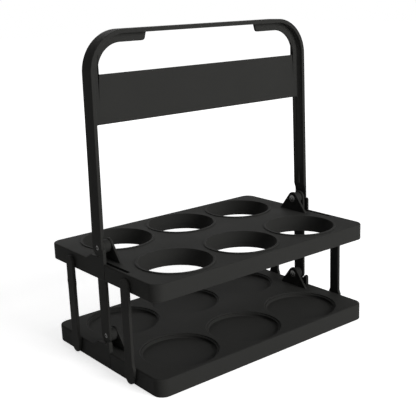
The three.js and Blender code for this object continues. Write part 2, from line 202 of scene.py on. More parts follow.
class Solid:
    """A closed mesh in millimetres that can be joined to other solids and cut by them."""

    def __init__(self, shape: bmesh.types.BMesh) -> None:
        """Keeps a shape as an object of the scene.

        Args:
            shape: the mesh under construction, which is used up.
        """
        bmesh.ops.remove_doubles(shape, verts=shape.verts[:], dist=WELD)
        bmesh.ops.recalc_face_normals(shape, faces=shape.faces[:])
        mesh = bpy.data.meshes.new("solid")
        shape.to_mesh(mesh)
        shape.free()
        self.object = bpy.data.objects.new("solid", mesh)
        bpy.context.scene.collection.objects.link(self.object)

    @staticmethod
    def round_edges(
        shape: bmesh.types.BMesh, edges: list[bmesh.types.BMEdge], radius: float, clamp: bool
    ) -> None:
        """Rounds edges of a mesh under construction.

        Args:
            shape: the mesh.
            edges: the edges.
            radius: radius of the rounding.
            clamp: whether a rounding stops where it meets another.
        """
        bmesh.ops.bevel(shape, geom=edges, offset=radius, offset_type="OFFSET", segments=EDGE_CHORDS,
                        profile=0.5, affect="EDGES", clamp_overlap=clamp)

    @classmethod
    def loft(cls, loops: Sequence[Sequence[Point3]], edge: float = 0.0) -> "Solid":
        """Skins a row of loops with equal counts of points, and closes both ends.

        Args:
            loops: the loops in order.
            edge: radius of the rounded edges of both ends.

        Returns:
            The closed solid.
        """
        shape = bmesh.new()
        rings = [[shape.verts.new(p) for p in loop] for loop in loops]
        caps = [shape.faces.new(rings[0]), shape.faces.new(rings[-1])]
        count = len(rings[0])
        for low, high in zip(rings, rings[1:]):
            for i in range(count):
                j = (i + 1) % count
                shape.faces.new((low[i], low[j], high[j], high[i]))
        bmesh.ops.recalc_face_normals(shape, faces=shape.faces[:])
        if edge > 0:
            cls.round_edges(shape, [e for cap in caps for e in cap.edges], edge, True)
        return cls(shape)

    @classmethod
    def plate(
        cls, outline: Sequence[Point2], plane: Plane, low: float, high: float, edge: float = 0.0
    ) -> "Solid":
        """Extrudes an outline into a plate with rounded edges.

        Args:
            outline: the drawn points.
            plane: the plane of the drawing.
            low: one face of the plate.
            high: the other face.
            edge: radius of the rounded edges.

        Returns:
            The plate.
        """
        return cls.loft([[plane.point(a, b, depth) for a, b in outline] for depth in (low, high)], edge)

    @classmethod
    def block(cls, first: Point3, second: Point3) -> "Solid":
        """Builds a plain block.

        Args:
            first: one corner.
            second: the opposite corner.

        Returns:
            The block.
        """
        (west, east), (front, rear), (low, high) = (sorted(pair) for pair in zip(first, second))
        return cls.plate([(west, front), (east, front), (east, rear), (west, rear)], Plane.XY, low, high)

    @classmethod
    def lathe(cls, profile: Sequence[Point2], steps: int) -> "Solid":
        """Turns a profile round the Z axis.

        Args:
            profile: (radius, height) points, from axis to axis or round to the first again.
            steps: chords round the axis.

        Returns:
            The turned solid.
        """
        shape = bmesh.new()
        verts = [shape.verts.new((radius, 0.0, height)) for radius, height in profile]
        edges = [shape.edges.new(pair) for pair in zip(verts, verts[1:])]
        bmesh.ops.spin(shape, geom=verts + edges, axis=(0, 0, 1), cent=(0, 0, 0), angle=math.tau, steps=steps,
                       use_merge=True)
        return cls(shape)

    def bake(self) -> None:
        """Turns the object's modifiers into plain mesh."""
        graph = bpy.context.evaluated_depsgraph_get()
        mesh = bpy.data.meshes.new_from_object(self.object.evaluated_get(graph))
        self.object.modifiers.clear()
        self.object.data = mesh

    def combine(self, operation: Operation, *others: "Solid") -> None:
        """Joins other solids to this one, or cuts it by them, and uses them up.

        Args:
            operation: what is done.
            others: the other solids.
        """
        for other in others:
            modifier = self.object.modifiers.new(operation.name, "BOOLEAN")
            modifier.operation = operation.value
            modifier.object = other.object
            modifier.solver = "EXACT"
            self.bake()
            other.discard()

    def discard(self) -> None:
        """Removes the solid from the scene."""
        bpy.data.objects.remove(self.object)

    def ease(self, radius: float, angle: float) -> None:
        """Rounds every edge that turns sharply, inward corners too.

        Args:
            radius: radius of the rounding.
            angle: least turn of an edge, in degrees.
        """
        shape = bmesh.new()
        shape.from_mesh(self.object.data)
        bmesh.ops.remove_doubles(shape, verts=shape.verts[:], dist=COMBINED_WELD)
        bmesh.ops.dissolve_limit(shape, angle_limit=math.radians(FLAT_DEGREES), verts=shape.verts[:],
                                 edges=shape.edges[:])
        sharp = [e for e in shape.edges if e.calc_face_angle(0.0) > math.radians(angle)]
        self.round_edges(shape, sharp, radius, False)
        shape.to_mesh(self.object.data)
        shape.free()

    def piece(self, name: str, body: str, finish: "Finish", *nodes: str) -> None:
        """Makes the solid a shown piece of the carrier that stands for its construction nodes.

        Args:
            name: name of the piece.
            body: moving body that it rides on.
            finish: its surface.
            nodes: construction nodes that it replaces.
        """
        mesh = self.object.data
        mesh.transform(Matrix.Scale(MILLIMETRE, 4))
        mesh.materials.clear()
        mesh.materials.append(finish.material())
        mesh.shade_smooth()
        mesh.set_sharp_from_angle(angle=math.radians(SHARP_DEGREES))
        weights = self.object.modifiers.new("flat faces", "WEIGHTED_NORMAL")
        weights.keep_sharp = True
        weights.weight = FACE_WEIGHT
        self.bake()
        self.object.name = name
        self.object.data.name = name
        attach(self.object, body)
        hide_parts(*nodes)
        LOG.info("%s: %d faces, on %s", name, len(self.object.data.polygons), body)


@dataclass(frozen=True)
class Axle:
    """An axis along X at one end of the carrier, on which pins and pivots are turned."""

    end: End
    height: float
    y: float = 0.0

    def lay(self, solid: Solid) -> Solid:
        """Lays a solid along the axis, with its own Z pointing out of the end.

        Args:
            solid: the solid, turned round the Z axis.

        Returns:
            The solid itself.
        """
        turn = Matrix.Rotation(math.radians(90 * self.end.value), 4, "Y")
        solid.object.data.transform(Matrix.Translation((0, self.y, self.height)) @ turn)
        return solid

    def turn(self, profile: Sequence[Point2], steps: int) -> Solid:
        """Turns a profile of radii and places along the axis, which count from the carrier's middle."""
        return self.lay(Solid.lathe(profile, steps))


class Mixed(Enum):
    """What a Mix node mixes: Blender's word, the first of its two inputs, and its output."""

    NUMBERS = ("FLOAT", 2, 0)
    COLOURS = ("RGBA", 6, 2)


class NodeTree:
    """Short ways to add and link nodes."""

    def __init__(self, tree: bpy.types.NodeTree) -> None:
        """Keeps the tree that the nodes go into."""
        self.tree = tree

    def add(self, kind: str, settings: dict | None = None, **inputs: object) -> bpy.types.Node:
        """Adds a node.

        Args:
            kind: Blender's type name of the node.
            settings: properties of the node.
            inputs: values or output sockets, by input name with _ for a space.

        Returns:
            The new node.
        """
        node = self.tree.nodes.new(kind)
        for key, value in (settings or {}).items():
            setattr(node, key, value)
        for key, value in inputs.items():
            self.feed(node.inputs[key.replace("_", " ")], value)
        return node

    def feed(self, socket: bpy.types.NodeSocket, value: object) -> None:
        """Links an output to a socket, or sets the socket's own value."""
        if isinstance(value, bpy.types.NodeSocket):
            self.tree.links.new(value, socket)
        else:
            socket.default_value = value

    def math(self, operation: str, first: object, second: object) -> bpy.types.NodeSocket:
        """Adds a Math node.

        Args:
            operation: Blender's word for what it does.
            first: first value or output socket.
            second: second value or output socket.

        Returns:
            The node's output.
        """
        node = self.add("ShaderNodeMath", {"operation": operation})
        self.feed(node.inputs[0], first)
        self.feed(node.inputs[1], second)
        return node.outputs[0]

    def mix(self, mixed: Mixed, factor: object, first: object, second: object) -> bpy.types.NodeSocket:
        """Adds a Mix node.

        Args:
            mixed: what is mixed.
            factor: share of the second.
            first: first value or output socket.
            second: second value or output socket.

        Returns:
            The node's output.
        """
        word, start, result = mixed.value
        node = self.add("ShaderNodeMix", {"data_type": word})
        for place, value in ((0, factor), (start, first), (start + 1, second)):
            self.feed(node.inputs[place], value)
        return node.outputs[result]


@dataclass(frozen=True)
class Places:
    """A grid of places round the middle: as it stands, the round ones, three along and two across."""

    long: int = 3
    across: int = 2
    pitch_long: float = 84.0
    pitch_across: float = 102.0


class PlacePattern:
    """Geometry nodes that repeat a shape over a grid of places."""

    GRID: ClassVar[dict[str, str]] = {
        "long": "NodeSocketInt",
        "across": "NodeSocketInt",
        "pitch_long": "NodeSocketFloat",
        "pitch_across": "NodeSocketFloat",
        "height": "NodeSocketFloat",
    }
    SHAPE: ClassVar[dict[str, str]] = {}

    def __init__(self) -> None:
        """Builds the tree, whose inputs are the grid's fields, its height and those of the shape."""
        self.tree = bpy.data.node_groups.new(type(self).__name__, "GeometryNodeTree")
        self.identifiers: dict[str, str] = {}
        for name, kind in {**self.GRID, **self.SHAPE}.items():
            socket = self.tree.interface.new_socket(name=name, in_out="INPUT", socket_type=kind)
            self.identifiers[name] = socket.identifier
        self.tree.interface.new_socket(name="Geometry", in_out="OUTPUT", socket_type="NodeSocketGeometry")
        nodes = NodeTree(self.tree)
        given = nodes.add("NodeGroupInput").outputs
        spans = [nodes.math("MULTIPLY", given[f"pitch_{way}"], nodes.math("SUBTRACT", given[way], 1.0))
                 for way in ("long", "across")]
        grid = nodes.add("GeometryNodeMeshGrid", Size_X=spans[0], Size_Y=spans[1],
                         Vertices_X=given["long"], Vertices_Y=given["across"])
        lift = nodes.add("ShaderNodeCombineXYZ", Z=given["height"])
        raised = nodes.add("GeometryNodeSetPosition", Geometry=grid.outputs["Mesh"],
                           Offset=lift.outputs["Vector"])
        copies = nodes.add("GeometryNodeInstanceOnPoints", Points=raised.outputs["Geometry"],
                           Instance=self.shape(nodes, given))
        plain = nodes.add("GeometryNodeRealizeInstances", Geometry=copies.outputs["Instances"])
        nodes.add("NodeGroupOutput", Geometry=plain.outputs["Geometry"])

    def shape(self, nodes: NodeTree, given: bpy.types.NodeOutputs) -> bpy.types.NodeSocket:
        """Gives the shape that is repeated; each pattern has its own."""
        raise NotImplementedError

    def run(self, places: Places, **values: object) -> Solid:
        """Runs the tree.

        Args:
            places: the grid.
            values: the other inputs by name.

        Returns:
            The copies, as one solid of separate shells.
        """
        made = Solid(bmesh.new())
        modifier = made.object.modifiers.new("pattern", "NODES")
        modifier.node_group = self.tree
        for name, value in {**asdict(places), **values}.items():
            modifier[self.identifiers[name]] = value
        made.bake()
        shape = bmesh.new()
        shape.from_mesh(made.object.data)
        made.discard()
        return Solid(shape)


class MasterPattern(PlacePattern):
    """Copies of a master solid."""

    SHAPE: ClassVar[dict[str, str]] = {"master": "NodeSocketObject"}

    def shape(self, nodes: NodeTree, given: bpy.types.NodeOutputs) -> bpy.types.NodeSocket:
        """Gives the master's own mesh."""
        return nodes.add("GeometryNodeObjectInfo", Object=given["master"]).outputs["Geometry"]

    def copies(self, master: Solid, places: Places, keep: bool = False) -> Solid:
        """Puts a copy of a solid at every place.

        Args:
            master: the solid, as it stands round the Z axis.
            places: the grid.
            keep: whether the master is still wanted afterwards.

        Returns:
            The copies, as one solid.
        """
        made = self.run(places, master=master.object)
        if not keep:
            master.discard()
        return made


class RingPattern(PlacePattern):
    """Rings with a rounded section."""

    SHAPE: ClassVar[dict[str, str]] = {
        "radius": "NodeSocketFloat",
        "wall": "NodeSocketFloat",
        "tall": "NodeSocketFloat",
        "edge": "NodeSocketFloat",
        "steps": "NodeSocketInt",
    }

    def shape(self, nodes: NodeTree, given: bpy.types.NodeOutputs) -> bpy.types.NodeSocket:
        """Sweeps a rounded section round a circle.

        Args:
            nodes: the tree.
            given: the tree's inputs.

        Returns:
            The ring's mesh.
        """
        middle = nodes.math("ADD", given["radius"], nodes.math("MULTIPLY", given["wall"], 0.5))
        circle = nodes.add("GeometryNodeCurvePrimitiveCircle", Resolution=given["steps"], Radius=middle)
        section = nodes.add("GeometryNodeCurvePrimitiveQuadrilateral", Width=given["wall"],
                            Height=given["tall"])
        rounded = nodes.add("GeometryNodeFilletCurve", {"mode": "POLY"}, Curve=section.outputs["Curve"],
                            Count=FILLET_CHORDS, Radius=given["edge"])
        swept = nodes.add("GeometryNodeCurveToMesh", Curve=circle.outputs["Curve"],
                          Profile_Curve=rounded.outputs["Curve"])
        return swept.outputs["Mesh"]


class SharedEffects:
    """Shader groups that more than one finish uses, each built once."""

    PIT_SHARE = 0.5
    FLAT_AGREEMENT = 0.995
    EDGE_AGREEMENT = 0.86
    SPECKLE_LOW = 0.3
    SPECKLE_HIGH = 0.65

    @staticmethod
    def group(name: str, inputs: dict[str, float], *outputs: str) -> NodeTree:
        """Starts a group of number sockets.

        Args:
            name: the group's name.
            inputs: usual values of the inputs by name.
            outputs: output names.

        Returns:
            The tree of the new group.
        """
        tree = bpy.data.node_groups.new(name, "ShaderNodeTree")
        for label, value in inputs.items():
            socket = tree.interface.new_socket(name=label, in_out="INPUT", socket_type="NodeSocketFloat")
            socket.default_value = value
        for label in outputs:
            tree.interface.new_socket(name=label, in_out="OUTPUT", socket_type="NodeSocketFloat")
        return NodeTree(tree)

    @classmethod
    @cache
    def moulding_grain(cls) -> bpy.types.ShaderNodeTree:
        """Fine spark-eroded grain of a mould, and the slow drift of its sheen.

        Returns:
            The group, with outputs Grain and Drift.
        """
        nodes = cls.group("moulding_grain", {"Fine Scale": 1600.0, "Broad Scale": 14.0}, "Grain", "Drift")
        given = nodes.add("NodeGroupInput").outputs
        place = nodes.add("ShaderNodeTexCoord").outputs["Object"]
        fine = nodes.add("ShaderNodeTexNoise", Vector=place, Scale=given["Fine Scale"], Detail=2.0,
                         Roughness=0.6)
        pits = nodes.add("ShaderNodeTexVoronoi", Vector=place, Scale=given["Fine Scale"])
        mixed = nodes.math("MULTIPLY_ADD", pits.outputs["Distance"], cls.PIT_SHARE)
        nodes.feed(mixed.node.inputs[2], fine.outputs["Fac"])
        broad = nodes.add("ShaderNodeTexNoise", Vector=place, Scale=given["Broad Scale"], Detail=3.0,
                          Roughness=0.5)
        nodes.add("NodeGroupOutput", Grain=mixed, Drift=broad.outputs["Fac"])
        return nodes.tree

    @classmethod
    @cache
    def edge_polish(cls) -> bpy.types.ShaderNodeTree:
        """Outer edges, where the surface is made smoother and is painted paler as a painted highlight.

        Returns:
            The group, with output Mask.
        """
        nodes = cls.group("edge_polish", {"Reach": 0.0008, "Breakup Scale": 260.0}, "Mask")
        given = nodes.add("NodeGroupInput").outputs
        rounded = nodes.add("ShaderNodeBevel", {"samples": 4}, Radius=given["Reach"])
        true_normal = nodes.add("ShaderNodeNewGeometry").outputs["Normal"]
        agree = nodes.add("ShaderNodeVectorMath", {"operation": "DOT_PRODUCT"})
        nodes.feed(agree.inputs[0], rounded.outputs["Normal"])
        nodes.feed(agree.inputs[1], true_normal)
        turn = nodes.add("ShaderNodeMapRange", Value=agree.outputs["Value"], From_Min=cls.FLAT_AGREEMENT,
                         From_Max=cls.EDGE_AGREEMENT)
        place = nodes.add("ShaderNodeTexCoord").outputs["Object"]
        speckle = nodes.add("ShaderNodeTexNoise", Vector=place, Scale=given["Breakup Scale"], Detail=3.0)
        broken = nodes.add("ShaderNodeMapRange", Value=speckle.outputs["Fac"], From_Min=cls.SPECKLE_LOW,
                           From_Max=cls.SPECKLE_HIGH)
        nodes.add("NodeGroupOutput", Mask=nodes.math("MULTIPLY", turn.outputs[0], broken.outputs[0]))
        return nodes.tree


@dataclass(frozen=True)
class Finish:
    """What every finish has: a name and the record's slot that it belongs to."""

    name: str
    slot: ClassVar[str] = ""

    def material(self) -> bpy.types.Material:
        """Gives the finish's material.

        Returns:
            The material, which is built on first use.
        """
        known = bpy.data.materials.get(self.name)
        if known is not None:
            return known
        made = bpy.data.materials.new(self.name)
        made.use_nodes = True
        made.node_tree.nodes.clear()
        nodes = NodeTree(made.node_tree)
        shader = nodes.add("ShaderNodeBsdfPrincipled")
        nodes.add("ShaderNodeOutputMaterial", Surface=shader.outputs["BSDF"])
        self.dress(nodes, shader)
        return made

    def dress(self, nodes: NodeTree, shader: bpy.types.Node) -> None:
        """Sets the shader; each finish has its own way."""
        raise NotImplementedError


@dataclass(frozen=True)
class MouldedPlastic(Finish):
    """Satin charcoal plastic with the mould's fine grain."""

    slot: ClassVar[str] = "moulded_plastic"
    deep: Colour = (0.0245, 0.0245, 0.0232, 1.0)
    pale: Colour = (0.0305, 0.0305, 0.0290, 1.0)
    # Painted highlight: paler colour along the outer edges
    polished: Colour = (0.046, 0.046, 0.044, 1.0)
    drift_low: float = 0.3
    drift_high: float = 0.7
    sheen_low: float = 0.56
    sheen_high: float = 0.68
    edge_roughness: float = 0.48
    gloss: float = 0.022
    grain_scale: float = 1500.0
    grain_depth: float = 0.00004
    grain_strength: float = 0.35

    def dress(self, nodes: NodeTree, shader: bpy.types.Node) -> None:
        """Mixes grain, drift of sheen, and smoother edges with a painted highlight into the shader.

        Args:
            nodes: the material's tree.
            shader: its Principled shader.
        """
        grain = nodes.add("ShaderNodeGroup", {"node_tree": SharedEffects.moulding_grain()},
                          Fine_Scale=self.grain_scale)
        edges = nodes.add("ShaderNodeGroup", {"node_tree": SharedEffects.edge_polish()})
        highlit_edge_mask = edges.outputs["Mask"]
        body = nodes.mix(Mixed.COLOURS, grain.outputs["Drift"], self.deep, self.pale)
        # Painted highlight: the base colour of the edges is mixed towards a paler one
        nodes.feed(shader.inputs["Base Color"], nodes.mix(Mixed.COLOURS, highlit_edge_mask, body, self.polished))
        satin = nodes.add("ShaderNodeMapRange", Value=grain.outputs["Drift"], From_Min=self.drift_low,
                          From_Max=self.drift_high, To_Min=self.sheen_low, To_Max=self.sheen_high)
        smooth = nodes.mix(Mixed.NUMBERS, highlit_edge_mask, satin.outputs[0], self.edge_roughness)
        nodes.feed(shader.inputs["Roughness"], smooth)
        bump = nodes.add("ShaderNodeBump", Height=grain.outputs["Grain"], Strength=self.grain_strength,
                         Distance=self.grain_depth)
        nodes.feed(shader.inputs["Normal"], bump.outputs["Normal"])
        shader.inputs["Specular IOR Level"].default_value = self.gloss


@dataclass(frozen=True)
class TurnedSteel(Finish):
    """Dull steel with the fine rings of turning round a pin's axis."""

    slot: ClassVar[str] = "steel"
    axis_height: float = 0.0
    bright: Colour = (0.115, 0.115, 0.112, 1.0)
    dull: Colour = (0.075, 0.075, 0.073, 1.0)
    smooth: float = 0.38
    rough: float = 0.52
    ring_scale: float = 700.0
    ring_waver: float = 1.5
    ring_detail: float = 2.0
    ring_depth: float = 0.00002
    ring_strength: float = 0.4
    grain_scale: float = 900.0
    stain_scale: float = 420.0
    # Painted shade: within this distance of the axis, the head's hollow is painted near black
    hollow: float = 0.00112
    hollow_edge: float = 0.00004
    grime: Colour = (0.012, 0.012, 0.011, 1.0)

    def dress(self, nodes: NodeTree, shader: bpy.types.Node) -> None:
        """Draws the rings, the stains between them and a painted shade in the hollow of a head.

        Args:
            nodes: the material's tree.
            shader: its Principled shader.
        """
        place = nodes.add("ShaderNodeTexCoord").outputs["Object"]
        centred = nodes.add("ShaderNodeMapping", Vector=place, Location=(0.0, 0.0, -self.axis_height))
        rings = nodes.add("ShaderNodeTexWave", {"wave_type": "RINGS", "rings_direction": "X"},
                          Vector=centred.outputs["Vector"], Scale=self.ring_scale,
                          Distortion=self.ring_waver, Detail=self.ring_detail)
        grain = nodes.add("ShaderNodeGroup", {"node_tree": SharedEffects.moulding_grain()},
                          Fine_Scale=self.grain_scale, Broad_Scale=self.stain_scale)
        tone = nodes.mix(Mixed.COLOURS, grain.outputs["Drift"], self.bright, self.dull)
        flat = nodes.add("ShaderNodeMapping", Vector=centred.outputs["Vector"], Scale=(0.0, 1.0, 1.0))
        reach = nodes.add("ShaderNodeVectorMath", {"operation": "LENGTH"}, Vector=flat.outputs["Vector"])
        # Painted shade in the hollow of the head, masked by distance from the pin's axis
        outside_hollow_shade = nodes.add("ShaderNodeMapRange", Value=reach.outputs["Value"], From_Min=self.hollow,
                          From_Max=self.hollow + self.hollow_edge)
        nodes.feed(shader.inputs["Base Color"], nodes.mix(Mixed.COLOURS, outside_hollow_shade.outputs[0], self.grime, tone))
        shader.inputs["Metallic"].default_value = 1.0
        satin = nodes.add("ShaderNodeMapRange", Value=grain.outputs["Drift"], To_Min=self.smooth,
                          To_Max=self.rough)
        nodes.feed(shader.inputs["Roughness"], satin.outputs[0])
        bump = nodes.add("ShaderNodeBump", Height=rings.outputs["Fac"], Strength=self.ring_strength,
                         Distance=self.ring_depth)
        nodes.feed(shader.inputs["Normal"], bump.outputs["Normal"])


@dataclass(frozen=True)
class PressedSteel(TurnedSteel):
    """The paler and rougher steel of the washers."""

    bright: Colour = (0.17, 0.17, 0.165, 1.0)
    dull: Colour = (0.11, 0.11, 0.107, 1.0)
    smooth: float = 0.42
    rough: float = 0.56


TRAY_PLASTIC = MouldedPlastic("tray_plastic")
HANDLE_PLASTIC = MouldedPlastic("handle_plastic", grain_scale=1900.0, grain_strength=0.28)
LINK_PLASTIC = MouldedPlastic("link_plastic", grain_scale=1700.0, sheen_low=0.50)


@dataclass(frozen=True)
class PinSeat:
    """The lug, boss and upstand that carry a steel pin at each end of a tray.

    The fields without a value are the tray's: its lower rim and deck, the faces of the upstand, the radius
    of the round end that sits in it, and how far the horn's top lies below the pin.
    """

    low: float
    deck: float
    inner: float
    outer: float
    end_radius: float
    drop: float
    pin_above_deck: float = 14.0
    bore: float = 1.6
    lug_outer: float = 126.9
    lug_inner: float = 124.3
    lug_top: float = 7.4
    lug_foot: float = 20.8
    boss_end: float = 133.5
    boss_radius: float = 6.4
    horn_width: float = 2.6
    horn_round: float = 2.0
    shoulder: float = 3.0
    flank: float = 11.0
    line_width: float = 0.9
    line_depth: float = 0.8
    gap: float = 0.3
    root: float = 2.2
    flush: float = 0.05
    edge: float = 0.6
    steps: int = 12
    bore_steps: int = 37

    @property
    def pin(self) -> float:
        """Height of the pin."""
        return self.deck + self.pin_above_deck

    @property
    def cradle(self) -> float:
        """Radius of the hollow that the round end sits in."""
        return self.end_radius + self.gap

    @property
    def front(self) -> float:
        """Front of the horn, along Y."""
        return -(self.cradle + self.horn_width)

    def lug(self) -> list[Point2]:
        """Draws the A-shaped lug, in Y and Z.

        Returns:
            The points of its outline.
        """
        foot = self.deck - self.edge
        rise = self.pin - foot
        lean = math.atan2(rise, self.lug_foot)
        start = math.degrees(math.acos(self.lug_top / math.hypot(self.lug_foot, rise)) - lean)
        top = arc((0.0, self.pin), self.lug_top, start, 180 - start, 2 * self.steps)
        return [(-self.lug_foot, foot), (self.lug_foot, foot), *top]

    def upstand(self) -> list[Point2]:
        """Draws the end wall's upstand, in Y and Z, with a tall horn in front and a sloping rear.

        Returns:
            The points of its outline.
        """
        foot, top = self.deck - self.root, self.pin - self.drop
        last = math.degrees(math.asin(self.drop / self.cradle)) - 180
        hollow = arc((0.0, self.pin), self.cradle, -90, last, 2 * self.steps)
        tip = (self.front + self.horn_round, top - self.horn_round)
        horn = arc(tip, self.horn_round, 90, 180, self.steps)
        rear = self.cradle + self.shoulder
        back = rear + self.flank
        slope = [(back, foot), (back, self.deck - self.edge), (rear, self.pin - self.cradle)]
        return [(self.front, foot), *slope, *hollow, *horn]

    def adds(self, end: End) -> list[Solid]:
        """Builds what one end of a tray gains.

        Args:
            end: the end of the carrier.

        Returns:
            Upstand, lug and boss.
        """
        side = end.value
        face = self.outer - self.flush
        wall = Solid.plate(self.upstand(), Plane.YZ, side * self.inner, side * face, self.edge)
        lug = Solid.plate(self.lug(), Plane.YZ, side * self.lug_inner, side * self.lug_outer, self.edge)
        middle = (self.lug_inner + self.lug_outer) / 2
        corner = (self.boss_radius - self.edge, self.boss_end - self.edge)
        profile = [(0.0, middle), (self.boss_radius, middle), *arc(corner, self.edge, 0, 90, FILLET_CHORDS),
                   (0.0, self.boss_end)]
        return [wall, lug, Axle(end, self.pin).turn(profile, 4 * self.steps)]

    def cuts(self, end: End) -> list[Solid]:
        """Builds the cutters for the pin's bore and for the fine line down the wall in front of the horn.

        Args:
            end: the end of the carrier.

        Returns:
            Both cutters.
        """
        near, far = self.lug_inner - MARGIN, self.boss_end + MARGIN
        bore = Solid.lathe([(0.0, near), (self.bore, near), (self.bore, far), (0.0, far)], self.bore_steps)
        # The bore's corners stay off the boss's own, because corners in line leave the cut mesh open
        bore.object.data.transform(Matrix.Rotation(math.pi / self.bore_steps / 2, 4, "Z"))
        depth = self.line_depth
        line = Solid.block(
            (end.value * (self.outer - depth), self.front - self.line_width, self.low - depth),
            (end.value * (self.outer + depth), self.front, self.deck + depth))
        return [Axle(end, self.pin).lay(bore), line]


@dataclass(frozen=True)
class SidePivot:
    """The pivots of the side links, with their seats in the end walls and in the links."""

    low: float = 7.5
    high: float = 99.5
    spread: float = 100.0
    wall_inner: float = 137.4
    link_inner: float = 140.4
    radius: float = 2.5
    head_radius: float = 4.2
    head: float = 0.9
    depth: float = 2.4
    gap: float = 0.3
    steps: int = 40

    def axle(self, end: End, row: Row, height: float) -> Axle:
        """Axis of one pivot."""
        return Axle(end, height, row.value * self.spread / 2)

    def seats(self, end: End, height: float, wall_outer: float) -> list[Solid]:
        """Builds the cutters for the holes through an end wall, each with a sunk seat for the head.

        Args:
            end: the end of the carrier.
            height: height of the pivots.
            wall_outer: outer face of the wall.

        Returns:
            The front and the rear cutter.
        """
        wide, slim = self.head_radius + self.gap, self.radius + self.gap
        near, far = self.wall_inner - MARGIN, wall_outer + MARGIN
        ledge = self.wall_inner + self.head + self.gap
        profile = [(0.0, near), (wide, near), (wide, ledge), (slim, ledge), (slim, far), (0.0, far)]
        return [self.axle(end, row, height).turn(profile, self.steps) for row in Row]

    def socket(self, axle: Axle) -> Solid:
        """Builds the cutter for a blind hole in a side link.

        Args:
            axle: the pivot's axis.

        Returns:
            The cutter.
        """
        radius = self.radius + self.gap / 2
        near, floor = self.link_inner - MARGIN, self.link_inner + self.depth
        return axle.turn([(0.0, near), (radius, near), (radius, floor), (0.0, floor)], self.steps)

    def shape(self, axle: Axle) -> Solid:
        """Builds a pivot with a flat head, a rounded tip and a dimple where it was moulded.

        Args:
            axle: the pivot's axis.

        Returns:
            The pivot.
        """
        low = self.wall_inner + self.gap / 2
        tip = self.link_inner + self.depth - self.gap
        soft = self.gap
        profile = [(0.0, low + soft), (self.radius / 2, low + soft), (self.radius / 2 + soft, low)]
        profile += arc((self.head_radius - soft, low + soft), soft, -90, 0, EDGE_CHORDS)
        profile += [(self.head_radius, low + self.head), (self.radius, low + self.head)]
        profile += arc((self.radius - soft, tip - soft), soft, 0, 90, EDGE_CHORDS)
        return axle.turn([*profile, (0.0, tip)], self.steps)


@dataclass
class Tray:
    """What both trays share: a deck with a skirt round it, open below, the round places and the pivots."""

    length: float
    width: float
    places: Places
    pattern: MasterPattern
    pivot: SidePivot
    corner: float = 11.0
    wall: float = 2.6
    deck: float = 2.6
    edge: float = 1.4
    foot_edge: float = 0.7
    inner_fillet: float = 1.2
    corner_steps: int = 14
    edge_steps: int = 5
    place_steps: int = 96

    def shell(self, low: float, high: float) -> Solid:
        """Skins the deck and skirt as one loft of inset outlines.

        Args:
            low: lower rim of the skirt.
            high: top of the deck.

        Returns:
            The open tray.
        """
        under = high - self.deck
        inside = self.wall - self.foot_edge
        hollow = (self.wall + self.inner_fillet, under - self.inner_fillet)
        profile = [
            *arc((self.edge, high - self.edge), self.edge, 90, 180, self.edge_steps),
            *arc((self.foot_edge, low + self.foot_edge), self.foot_edge, 180, 270, self.edge_steps),
            *arc((inside, low + self.foot_edge), self.foot_edge, 270, 360, self.edge_steps),
            *arc(hollow, self.inner_fillet, 180, 90, self.edge_steps),
        ]
        loops = []
        for inset, height in profile:
            ring = rounded_rectangle(self.length - 2 * inset, self.width - 2 * inset, self.corner - inset,
                                     self.corner_steps)
            loops.append([(x, y, height) for x, y in ring])
        return Solid.loft(loops)

    @property
    def outer(self) -> float:
        """Outer face of an end wall."""
        return self.length / 2

    @property
    def wall_inner(self) -> float:
        """Inner face of an end wall."""
        return self.outer - self.wall


